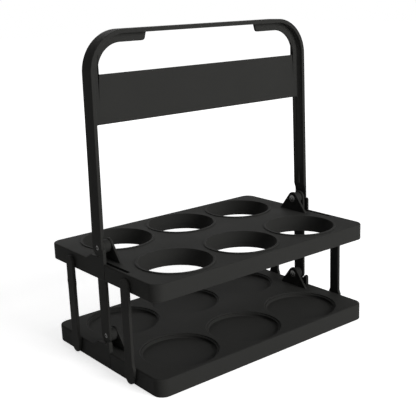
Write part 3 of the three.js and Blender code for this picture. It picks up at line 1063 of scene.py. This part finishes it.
@dataclass
class BaseTray(Tray):
    """Lower tray: a recess with a step at every place, ribs and feet below the deck."""

    height: float = 18.0
    recess_radius: float = 37.5
    recess_depth: float = 4.6
    recess_step: float = 1.8
    step_depth: float = 1.4
    recess_wall: float = 2.2
    recess_floor: float = 2.4
    recess_fillet: float = 1.2
    rim_round: float = 0.7
    rib: float = 2.4
    rib_lift: float = 0.5
    rib_top_sink: float = 1.3
    foot_radius: float = 8.0
    foot_inset: float = 14.0
    link_end_radius: float = 7.5
    horn_drop: float = 3.5
    upstand_inner: float = 135.8
    recess_clear: float = 2.0
    foot_steps: int = 48

    def cup(self) -> Solid:
        """Builds the solid below one recess, which closes the hole that the recess makes in the deck.

        Returns:
            The solid, round the Z axis.
        """
        low, high = self.height - self.recess_depth - self.recess_floor, self.height - self.deck / 2
        outer = self.recess_radius + self.recess_wall
        soft = self.recess_fillet
        corner = arc((outer - soft, low + soft), soft, -90, 0, FILLET_CHORDS)
        return Solid.lathe([(0.0, low), *corner, (outer, high), (0.0, high)], self.place_steps)

    def recess(self) -> Solid:
        """Builds the cutter for one recess, with a round foot, a step and a rounded rim.

        Returns:
            The cutter, round the Z axis.
        """
        floor, ledge = self.height - self.recess_depth, self.height - self.step_depth
        clear = self.height + self.recess_clear
        radius = self.recess_radius
        rim = radius + self.recess_step
        edge = rim + self.rim_round
        soft, small = self.recess_fillet, self.rim_round / 2
        profile = [
            (0.0, floor),
            *arc((radius - soft, floor + soft), soft, -90, 0, self.edge_steps),
            *arc((radius + small, ledge - small), small, 180, 90, EDGE_CHORDS),
            *arc((rim - small, ledge + small), small, -90, 0, EDGE_CHORDS),
            *arc((edge, self.height - self.rim_round), self.rim_round, 180, 100, FILLET_CHORDS),
            (edge, clear),
            (0.0, clear),
        ]
        return Solid.lathe(profile, self.place_steps)

    def underside(self) -> list[Solid]:
        """Builds the ribs and feet below the deck.

        Returns:
            The solids to join to the shell.
        """
        top = self.height - self.rib_top_sink
        reach_x, reach_y = self.wall_inner + self.wall / 2, self.width / 2 - self.wall / 2
        half = self.rib / 2
        solids = [Solid.block((-reach_x, -half, self.rib_lift), (reach_x, half, top))]
        for x in (-self.places.pitch_long / 2, self.places.pitch_long / 2):
            low = (x - half, -reach_y, self.rib_lift * 2)
            solids.append(Solid.block(low, (x + half, reach_y, top - half / 2)))
        soft = self.foot_edge
        sole = arc((self.foot_radius - soft, soft), soft, -90, 0, FILLET_CHORDS)
        profile = [(0.0, 0.0), *sole, (self.foot_radius, top - half), (0.0, top - half)]
        foot = Solid.lathe(profile, self.foot_steps)
        corners = Places(2, 2, self.length - 2 * self.foot_inset, self.width - 2 * self.foot_inset)
        return [*solids, self.pattern.copies(foot, corners, keep=True), foot]

    def build(self) -> None:
        """Builds and dresses the base tray."""
        tray = self.shell(0.0, self.height)
        cups = self.pattern.copies(self.cup(), self.places)
        tray.combine(Operation.JOIN, *self.underside(), cups)
        seat = PinSeat(0.0, self.height, self.upstand_inner, self.outer, self.link_end_radius, self.horn_drop)
        for end in End:
            tray.combine(Operation.JOIN, *seat.adds(end))
        tray.combine(Operation.CUT, self.pattern.copies(self.recess(), self.places))
        for end in End:
            tray.combine(Operation.CUT, *seat.cuts(end), *self.pivot.seats(end, self.pivot.low, self.outer))
        tray.piece("base_tray_moulding", "base", TRAY_PLASTIC, "base_tray")


@dataclass
class UpperTray(Tray):
    """Upper tray: a collar with a raised lip round every place, and slots for the centre links."""

    top: float = 110.0
    skirt: float = 17.0
    hole_radius: float = 36.5
    collar_wall: float = 2.2
    lip_width: float = 2.4
    lip_height: float = 1.0
    lip_edge: float = 0.45
    arm_end_radius: float = 8.2
    slot_front: float = 47.8
    slot_rear: float = 8.1
    slot_outer: float = 137.3

    def collars(self) -> Solid:
        """Builds the collar and lip of every place.

        Returns:
            The collars, as one solid.
        """
        tall = self.skirt + self.lip_height
        middle = self.top - self.skirt + tall / 2
        return RingPattern().run(self.places, height=middle, radius=self.hole_radius, wall=self.lip_width,
                                 tall=tall, edge=self.lip_edge, steps=self.place_steps)

    def hole(self) -> Solid:
        """Builds the cutter for one hole in the deck, which ends inside the collar's wall.

        Returns:
            The cutter, round the Z axis.
        """
        radius = self.hole_radius + self.collar_wall / 2
        low, high = self.top - self.deck - self.inner_fillet, self.top + MARGIN
        return Solid.lathe([(0.0, low), (radius, low), (radius, high), (0.0, high)], self.place_steps)

    def build(self) -> None:
        """Builds and dresses the upper tray."""
        low = self.top - self.skirt
        tray = self.shell(low, self.top)
        tray.combine(Operation.CUT, self.pattern.copies(self.hole(), self.places))
        tray.combine(Operation.JOIN, self.collars())
        seat = PinSeat(low, self.top, self.wall_inner, self.outer, self.arm_end_radius, 0.0)
        for end in End:
            tray.combine(Operation.JOIN, *seat.adds(end))
            slot = Solid.block(
                (end.value * seat.boss_end, -self.slot_front, self.top - self.deck - MARGIN),
                (end.value * self.slot_outer, self.slot_rear, self.top + MARGIN))
            pivots = self.pivot.seats(end, self.pivot.high, self.outer)
            tray.combine(Operation.CUT, slot, *seat.cuts(end), *pivots)
        tray.piece("upper_tray_moulding", "upper", TRAY_PLASTIC, "upper_tray")


@dataclass(frozen=True)
class Handle:
    """The handle: a bent rim, a thin web with a wide panel in its middle plane, and a bare grip."""

    half_length: float = 140.0
    top: float = 328.0
    pin_height: float = 124.0
    inset_low: float = 0.5
    inset_high: float = 3.0
    width: float = 16.4
    rim: float = 4.1
    arm_end: float = 2.2
    arm_relief: float = 10.0
    arm_taper: float = 6.0
    grip: float = 4.0
    corner: float = 39.0
    web: float = 3.0
    flange: float = 11.9
    lower_flange: float = 5.6
    opening_corner: float = 26.0
    opening_foot: float = 2.4
    panel_bottom: float = 241.5
    panel_top: float = 288.0
    tab_drop: float = 12.0
    tab_reach: float = 68.8
    tab_slant: float = 2.6
    tab_corner: float = 3.0
    web_low_end: float = 17.0
    edge: float = 0.7
    edge_turn: float = 40.0
    foot_steps: int = 6
    tab_steps: int = 8
    steps: int = 18
    draft: float = 2.2
    draft_start: float = 1.0
    draft_bite: float = 0.3
    draft_rise: float = 20.0
    draft_end: float = 70.0

    @property
    def arm_outer(self) -> float:
        """Outer face of an arm at its pin."""
        return self.half_length - self.inset_low

    @property
    def bend(self) -> float:
        """Height at which an arm starts to bend over."""
        return self.top - self.corner

    @property
    def bend_centre(self) -> float:
        """Middle of the right arm's bend, along X."""
        return self.half_length - self.inset_high - self.corner

    def outer_at(self, height: float) -> float:
        """Outer face of an arm at a height below the bend."""
        rise = (height - self.pin_height) / (self.bend - self.pin_height)
        return self.arm_outer - (self.inset_high - self.inset_low) * rise

    def rim_outline(self) -> list[Point2]:
        """Draws arms and grip, in X and Z, with the arms' ends thinner and left long.

        Returns:
            The points of its outline.
        """
        foot = self.pin_height - self.width
        outer, inner = self.arm_outer, self.arm_outer - self.arm_end
        relief = self.pin_height + self.arm_relief
        taper = relief + self.arm_taper
        swelling = [(self.outer_at(relief) - self.arm_end, relief), (self.outer_at(taper) - self.rim, taper)]
        centre = (self.bend_centre, self.bend)
        mirrored = (-centre[0], centre[1])
        across, up = self.corner - self.rim, self.corner - self.grip
        points = [(outer, foot), (outer, self.pin_height)]
        points += arc(centre, self.corner, 0, 90, self.steps)
        points += arc(mirrored, self.corner, 90, 180, self.steps)
        points += [(-outer, self.pin_height), (-outer, foot), (-inner, foot), (-inner, self.pin_height)]
        points += [(-x, z) for x, z in swelling]
        points += arc(mirrored, across, 180, 90, self.steps, up)
        points += arc(centre, across, 90, 0, self.steps, up)
        return points + [*reversed(swelling), (inner, self.pin_height), (inner, foot)]

    def end_outline(self) -> list[Point2]:
        """Draws the handle from the side, in Y and Z, with a round end at the pins.

        Returns:
            The points of its outline.
        """
        radius = self.width / 2
        above = self.top + self.width
        end = arc((0.0, self.pin_height), radius, 180, 360, 2 * self.steps)
        return [(radius, above), (-radius, above), *end]

    def half_web(self) -> list[Point2]:
        """Draws the right half of the web, in X and Z, from the panel's foot round to its top edge.

        Returns:
            The points of its outline.
        """
        inner = self.half_length - self.inset_high - self.flange
        low = self.pin_height + self.web_low_end
        side = self.rim / 2
        foot = self.opening_foot
        below = self.outer_at(self.panel_bottom) - self.lower_flange
        under, middle = self.top - self.tab_drop, self.top - self.grip / 2
        tab_foot = self.tab_reach + self.tab_slant
        points = arc((below - foot, self.panel_bottom - foot), foot, 90, 0, self.foot_steps)
        points += [(self.outer_at(low) - self.lower_flange, low), (self.outer_at(low) - side, low)]
        points += arc((self.bend_centre, self.bend), self.corner - side, 0, 90, self.steps)
        points += [(self.tab_reach, middle)]
        points += rounded_corner((self.tab_reach, middle), (tab_foot, under), (self.bend_centre, under),
                                 self.tab_corner, self.tab_steps)
        points += arc((inner - self.opening_corner, under - self.opening_corner), self.opening_corner, 90, 0,
                      self.steps)
        return points + arc((inner - foot, self.panel_top + foot), foot, 0, -90, self.foot_steps)

    def web_outline(self) -> list[Point2]:
        """Whole outline of the web."""
        right = self.half_web()
        return right + [(-x, z) for x, z in reversed(right)]

    def draft_strip(self, end: End) -> Solid:
        """Builds the slope of the mould inside one arm, from the rim's edges to the web, faded at both ends.

        Args:
            end: the end of the carrier.

        Returns:
            The strip.
        """
        bite = self.draft_bite
        root, face = self.web / 2 - bite, self.width / 2 - self.edge - bite
        low = self.pin_height + self.web_low_end + self.draft_start
        rows = [(self.outer_at(z) - self.rim, z, 0.0, draft)
                for z, draft in ((low, -bite / 2), (low + self.draft_rise, self.draft))]
        radius = self.corner - self.rim
        for i in range(self.steps + 1):
            share = i / self.steps
            turn = math.radians(self.draft_end) * share
            draft = self.draft - (self.draft + bite / 2) * share
            x = self.bend_centre + radius * math.cos(turn)
            rows.append((x, self.bend + radius * math.sin(turn), turn, draft))
        loops = []
        for x, z, turn, draft in rows:
            section = [(self.rim / 2, -face), (self.rim / 2, face), (bite, face), (-draft, root),
                       (-draft, -root), (bite, -face)]
            loops.append([(end.value * (x + out * math.cos(turn)), y, z + out * math.sin(turn))
                          for out, y in section])
        return Solid.loft(loops)

    def build(self, pin: "SteelPin") -> None:
        """Builds and dresses the handle.

        Args:
            pin: the pins that the arms turn on.
        """
        reach, far = self.width, self.half_length + self.width
        handle = Solid.plate(self.rim_outline(), Plane.XZ, -reach, reach)
        handle.combine(Operation.KEEP, Solid.plate(self.end_outline(), Plane.YZ, -far, far))
        handle.combine(Operation.JOIN, Solid.plate(self.web_outline(), Plane.XZ, -self.web / 2, self.web / 2))
        for end in End:
            handle.combine(Operation.JOIN, self.draft_strip(end))
        handle.ease(self.edge, self.edge_turn)
        for end in End:
            axle = Axle(end, self.pin_height)
            handle.combine(Operation.CUT, pin.seat(axle, self.arm_outer - self.arm_end, self.arm_outer, True))
        handle.piece("handle_moulding", "handle", HANDLE_PLASTIC, "handle")


@dataclass(frozen=True)
class SteelPin:
    """The steel pins, their sunk heads and the push-on washers that keep them in."""

    radius: float = 1.3
    head_radius: float = 2.5
    head_face: float = 2.0
    head: float = 0.6
    sink: float = 0.3
    hollow: float = 1.1
    hollow_depth: float = 1.8
    gap: float = 0.3
    tip: float = 121.4
    tip_round: float = 0.4
    washer_inner: float = 122.8
    washer_outer: float = 124.0
    washer_radius: float = 4.0
    washer_dish: float = 0.45
    notch: float = 0.7
    notch_reach: float = 2.6
    notches: int = 3
    steps: int = 48

    def seat(self, axle: Axle, inner: float, outer: float, head: bool) -> Solid:
        """Builds the cutter for a pin's bore, with a seat for its head where it has one.

        Args:
            axle: the pin's axis.
            inner: inner face of what turns on the pin.
            outer: its outer face.
            head: whether the head sits in this piece.

        Returns:
            The cutter.
        """
        bore, wide = self.radius + self.gap, self.head_radius + self.gap
        ledge = outer - self.sink - self.head - self.gap
        profile = [(0.0, inner - MARGIN), (bore, inner - MARGIN)]
        if head:
            profile += [(bore, ledge), (wide, ledge), (wide, outer - self.gap), (wide + self.gap, outer)]
            bore = wide + self.gap
        return axle.turn([*profile, (bore, outer + MARGIN), (0.0, outer + MARGIN)], self.steps)

    def shape(self, axle: Axle, face: float) -> Solid:
        """Builds a turned pin with a chamfered head that is hollow in its middle, and a round tip.

        Args:
            axle: the pin's axis.
            face: outer face of the piece that it is sunk in.

        Returns:
            The pin.
        """
        outer = face - self.sink
        inner, floor = outer - self.head, outer - self.hollow_depth
        tip = (self.radius - self.tip_round, self.tip + self.tip_round)
        bevel = self.head_radius - self.head_face
        profile = [(0.0, self.tip), *arc(tip, self.tip_round, -90, 0, FILLET_CHORDS), (self.radius, inner)]
        profile += [(self.head_radius, inner), (self.head_radius, outer - bevel / 2), (self.head_face, outer)]
        profile += [(self.hollow, outer), (self.hollow, floor), (0.0, floor)]
        return axle.turn(profile, self.steps)

    def washer(self, axle: Axle) -> Solid:
        """Builds a dished washer whose inner edge is split into tongues.

        Args:
            axle: the pin's axis.

        Returns:
            The washer.
        """
        low, high = self.washer_inner, self.washer_outer
        hole = self.radius + self.gap / 2
        shoulder = (hole + self.washer_radius) / 2
        ring = [
            (hole, low),
            (shoulder, low + self.washer_dish),
            (self.washer_radius, high - self.washer_dish),
            (self.washer_radius, high),
            (shoulder, high),
            (hole, low + self.washer_dish),
        ]
        washer = Solid.lathe([*ring, ring[0]], self.steps)
        half = self.notch / 2
        for i in range(self.notches):
            slit = Solid.block(
                (-self.notch_reach, -half, low - MARGIN), (self.notch_reach, half, high + MARGIN))
            slit.object.data.transform(Matrix.Rotation(math.pi * i / self.notches, 4, "Z"))
            washer.combine(Operation.CUT, slit)
        return axle.lay(washer)

    def build(self, axle: Axle, name: str, body: str, face: float) -> None:
        """Builds and dresses one pin and its washer.

        Args:
            axle: the pin's axis.
            name: what the pin belongs to, as in its node's name.
            body: moving body that holds it.
            face: outer face of the piece that it is sunk in.
        """
        bright = TurnedSteel(f"{name}_steel", axle.height * MILLIMETRE)
        dull = PressedSteel(f"{name}_washer_steel", axle.height * MILLIMETRE)
        node = f"{name}_{axle.end.label}"
        self.shape(axle, face).piece(f"turned_{node}", body, bright, node)
        node = f"{name}_washer_{axle.end.label}"
        self.washer(axle).piece(f"pressed_{node}", body, dull, node)


@dataclass(frozen=True)
class CentreLink:
    """The flat bar behind each end wall that carries the upper tray on the base."""

    low: float = 32.0
    high: float = 124.0
    inner: float = 133.9
    outer: float = 136.9
    width: float = 15.0
    edge: float = 0.8
    steps: int = 40

    def build(self, end: End, pin: SteelPin) -> None:
        """Builds and dresses one centre link.

        Args:
            end: the end of the carrier.
            pin: the pins that it turns on.
        """
        radius = self.width / 2
        outline = [*arc((0.0, self.low), radius, 180, 360, self.steps),
                   *arc((0.0, self.high), radius, 0, 180, self.steps)]
        link = Solid.plate(outline, Plane.YZ, end.value * self.inner, end.value * self.outer, self.edge)
        for height, head in ((self.low, True), (self.high, False)):
            link.combine(Operation.CUT, pin.seat(Axle(end, height), self.inner, self.outer, head))
        link.piece(f"bar_centre_link_{end.label}", f"centre_{end.label}", LINK_PLASTIC,
                   f"centre_link_{end.label}")


@dataclass(frozen=True)
class SideLink:
    """The slim bar outside an end wall, with a wide round foot and a small swell near its top."""

    outer: float = 144.0
    width: float = 12.5
    foot_radius: float = 6.9
    foot_width: float = 16.4
    foot_start: float = 4.0
    foot_end: float = 10.0
    foot_taper: float = 4.0
    swell: float = 0.8
    swell_height: float = 8.0
    swell_below: float = 22.0
    soft: float = 1.6
    soft_turn: float = 9.0
    soft_steps: int = 5
    edge: float = 0.9
    steps: int = 28

    def outline(self, low: float, high: float, y: float) -> list[Point2]:
        """Draws a link, in Y and Z, with its corners rounded.

        Args:
            low: height of the lower pivot.
            high: height of the upper pivot.
            y: place of the link along Y.

        Returns:
            The points of its outline.
        """
        half, foot = self.width / 2, self.foot_width / 2
        swell = high - self.swell_below
        flank = [
            (foot, low + self.foot_start),
            (foot, low + self.foot_end),
            (half, low + self.foot_end + self.foot_taper),
            (half, swell - self.swell_height / 2),
            (half + self.swell, swell),
            (half, swell + self.swell_height / 2),
        ]
        points = [
            *arc((0.0, low), self.foot_radius, 180, 360, self.steps),
            *flank,
            *arc((0.0, high), half, 0, 180, self.steps),
            *[(-across, z) for across, z in reversed(flank)],
        ]
        soft = softened(points, self.soft, self.soft_turn, self.soft_steps)
        return [(y + across, z) for across, z in soft]

    def build(self, end: End, row: Row, pivot: SidePivot) -> None:
        """Builds and dresses one side link and its two pivots.

        Args:
            end: the end of the carrier.
            row: front or rear.
            pivot: the pivots that it turns on.
        """
        place = f"{row.label}_{end.label}"
        body = f"side_{place}"
        outline = self.outline(pivot.low, pivot.high, row.value * pivot.spread / 2)
        inner, outer = end.value * pivot.link_inner, end.value * self.outer
        link = Solid.plate(outline, Plane.YZ, inner, outer, self.edge)
        for height, level in ((pivot.low, "lower"), (pivot.high, "upper")):
            axle = pivot.axle(end, row, height)
            link.combine(Operation.CUT, pivot.socket(axle))
            node = f"side_pivot_{level}_{place}"
            pivot.shape(axle).piece(f"round_{node}", body, LINK_PLASTIC, node)
        link.piece(f"bar_side_link_{place}", body, LINK_PLASTIC, f"side_link_{place}")


@dataclass(frozen=True)
class PhotoCamera:
    """Camera at the photograph's viewing angle."""

    focal_pixels: float = 800.3
    picture_pixels: float = 416.0
    azimuth: float = -38.50
    elevation: float = 14.82
    roll: float = -2.12
    eye: Point3 = (-0.5122, -0.6425, 0.3542)
    sensor: float = 36.0
    nearest: float = 0.01

    def build(self) -> None:
        """Makes the camera and gives it to the scene."""
        data = bpy.data.cameras.new("photo_camera")
        data.sensor_width = self.sensor
        data.lens = self.focal_pixels / self.picture_pixels * self.sensor
        data.clip_start = self.nearest
        turn, lift, lean = (math.radians(v) for v in (self.azimuth, self.elevation, self.roll))
        back = Vector((math.sin(turn) * math.cos(lift), -math.cos(turn) * math.cos(lift), math.sin(lift)))
        right = (-back).cross(Vector((0, 0, 1))).normalized()
        up = right.cross(-back)
        level = Matrix((right, up, back)).transposed()
        camera = bpy.data.objects.new("photo_camera", data)
        turned = level @ Matrix.Rotation(lean, 3, "Z")
        camera.matrix_world = Matrix.Translation(self.eye) @ turned.to_4x4()
        bpy.context.scene.collection.objects.link(camera)
        bpy.context.scene.camera = camera


@dataclass(frozen=True)
class SoftLamp:
    """A large soft lamp that points at the carrier."""

    name: str
    place: Point3
    size: float
    watts: float
    target: Point3 = (0.0, 0.0, 0.13)

    def build(self) -> None:
        """Makes the lamp."""
        data = bpy.data.lights.new(self.name, "AREA")
        data.shape = "DISK"
        data.size = self.size
        data.energy = self.watts
        lamp = bpy.data.objects.new(self.name, data)
        lamp.location = self.place
        aim = Vector(self.target) - Vector(self.place)
        lamp.rotation_euler = aim.to_track_quat("-Z", "Y").to_euler()
        bpy.context.scene.collection.objects.link(lamp)


@dataclass(frozen=True)
class Studio:
    """White room: soft lamps, an even sky and a pale floor that keeps the shadow."""

    sky: float = 0.10
    floor_size: float = 14.0
    floor_drop: float = 0.0002
    near_glow: float = 0.72
    near_reach: float = 0.45
    far_reach: float = 1.1
    floor_colour: Colour = (0.82, 0.82, 0.82, 1.0)
    lamps: tuple[SoftLamp, ...] = (
        SoftLamp("key", (0.40, -1.85, 0.74), 1.2, 37.5),
        SoftLamp("top", (0.1, 0.1, 1.9), 1.5, 3.0),
        SoftLamp("rim", (0.5, 1.8, 1.1), 1.0, 6.0),
    )

    def seen_directly(self, nodes: NodeTree) -> bpy.types.NodeSocket:
        """Tells the rays that show the background: from the camera, mirrored or let through.

        Args:
            nodes: the tree.

        Returns:
            1 for such a ray, 0 for any other.
        """
        path = nodes.add("ShaderNodeLightPath").outputs
        mirrored = nodes.math("MAXIMUM", path["Is Glossy Ray"], path["Is Transmission Ray"])
        return nodes.math("MAXIMUM", path["Is Camera Ray"], mirrored)

    def build_sky(self) -> None:
        """Makes a world that looks white and lights evenly."""
        world = bpy.data.worlds.new("white_room")
        world.use_nodes = True
        world.node_tree.nodes.clear()
        nodes = NodeTree(world.node_tree)
        seen = self.seen_directly(nodes)
        strength = nodes.mix(Mixed.NUMBERS, seen, self.sky, 1.0)
        light = nodes.add("ShaderNodeBackground", Color=WHITE, Strength=strength)
        nodes.add("ShaderNodeOutputWorld", Surface=light.outputs[0])
        bpy.context.scene.world = world

    def build_floor(self) -> None:
        """Makes the floor under the carrier."""
        half = self.floor_size / 2
        mesh = bpy.data.meshes.new("floor")
        corners = [(-half, -half), (half, -half), (half, half), (-half, half)]
        mesh.from_pydata([(x, y, -self.floor_drop) for x, y in corners], [], [(0, 1, 2, 3)])
        paint = bpy.data.materials.new("pale_floor")
        paint.use_nodes = True
        paint.node_tree.nodes.clear()
        nodes = NodeTree(paint.node_tree)
        seen = self.seen_directly(nodes)
        lit = nodes.add("ShaderNodeBsdfDiffuse", Color=self.floor_colour)
        place = nodes.add("ShaderNodeTexCoord").outputs["Object"]
        away = nodes.add("ShaderNodeVectorMath", {"operation": "LENGTH"}, Vector=place)
        whiter = nodes.add("ShaderNodeMapRange", {"interpolation_type": "SMOOTHSTEP"},
                           Value=away.outputs["Value"], From_Min=self.near_reach, From_Max=self.far_reach,
                           To_Min=self.near_glow, To_Max=1.0)
        glow = nodes.add("ShaderNodeEmission", Color=WHITE,
                         Strength=nodes.math("MULTIPLY", seen, whiter.outputs[0]))
        both = nodes.add("ShaderNodeAddShader")
        nodes.feed(both.inputs[0], lit.outputs[0])
        nodes.feed(both.inputs[1], glow.outputs[0])
        nodes.add("ShaderNodeOutputMaterial", Surface=both.outputs[0])
        mesh.materials.append(paint)
        floor = bpy.data.objects.new("floor", mesh)
        bpy.context.scene.collection.objects.link(floor)

    def build(self) -> None:
        """Builds the room and sets the plain view."""
        self.build_sky()
        self.build_floor()
        for lamp in self.lamps:
            lamp.build()
        bpy.context.scene.view_settings.view_transform = "Standard"


def node_size(node: str) -> Vector:
    """Size of a construction node in millimetres."""
    low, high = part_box(node)
    return (high - low) / MILLIMETRE


def main() -> None:
    """Builds the camera, the room and every piece."""
    logging.basicConfig(level=logging.INFO, format="%(message)s")
    PhotoCamera().build()
    Studio().build()
    places, pattern, pivot = Places(), MasterPattern(), SidePivot()
    size = node_size("upper_tray")
    for tray in (BaseTray, UpperTray):
        tray(size.x, size.y, places, pattern, pivot).build()
    handle, centre, side, pin = Handle(), CentreLink(), SideLink(), SteelPin()
    handle.build(pin)
    for end in End:
        centre.build(end, pin)
        pin.build(Axle(end, handle.pin_height), "handle_pin", "upper", handle.arm_outer)
        pin.build(Axle(end, centre.low), "base_pin", "base", centre.outer)
        for row in Row:
            side.build(end, row, pivot)


if __name__ == "__main__":
    main()
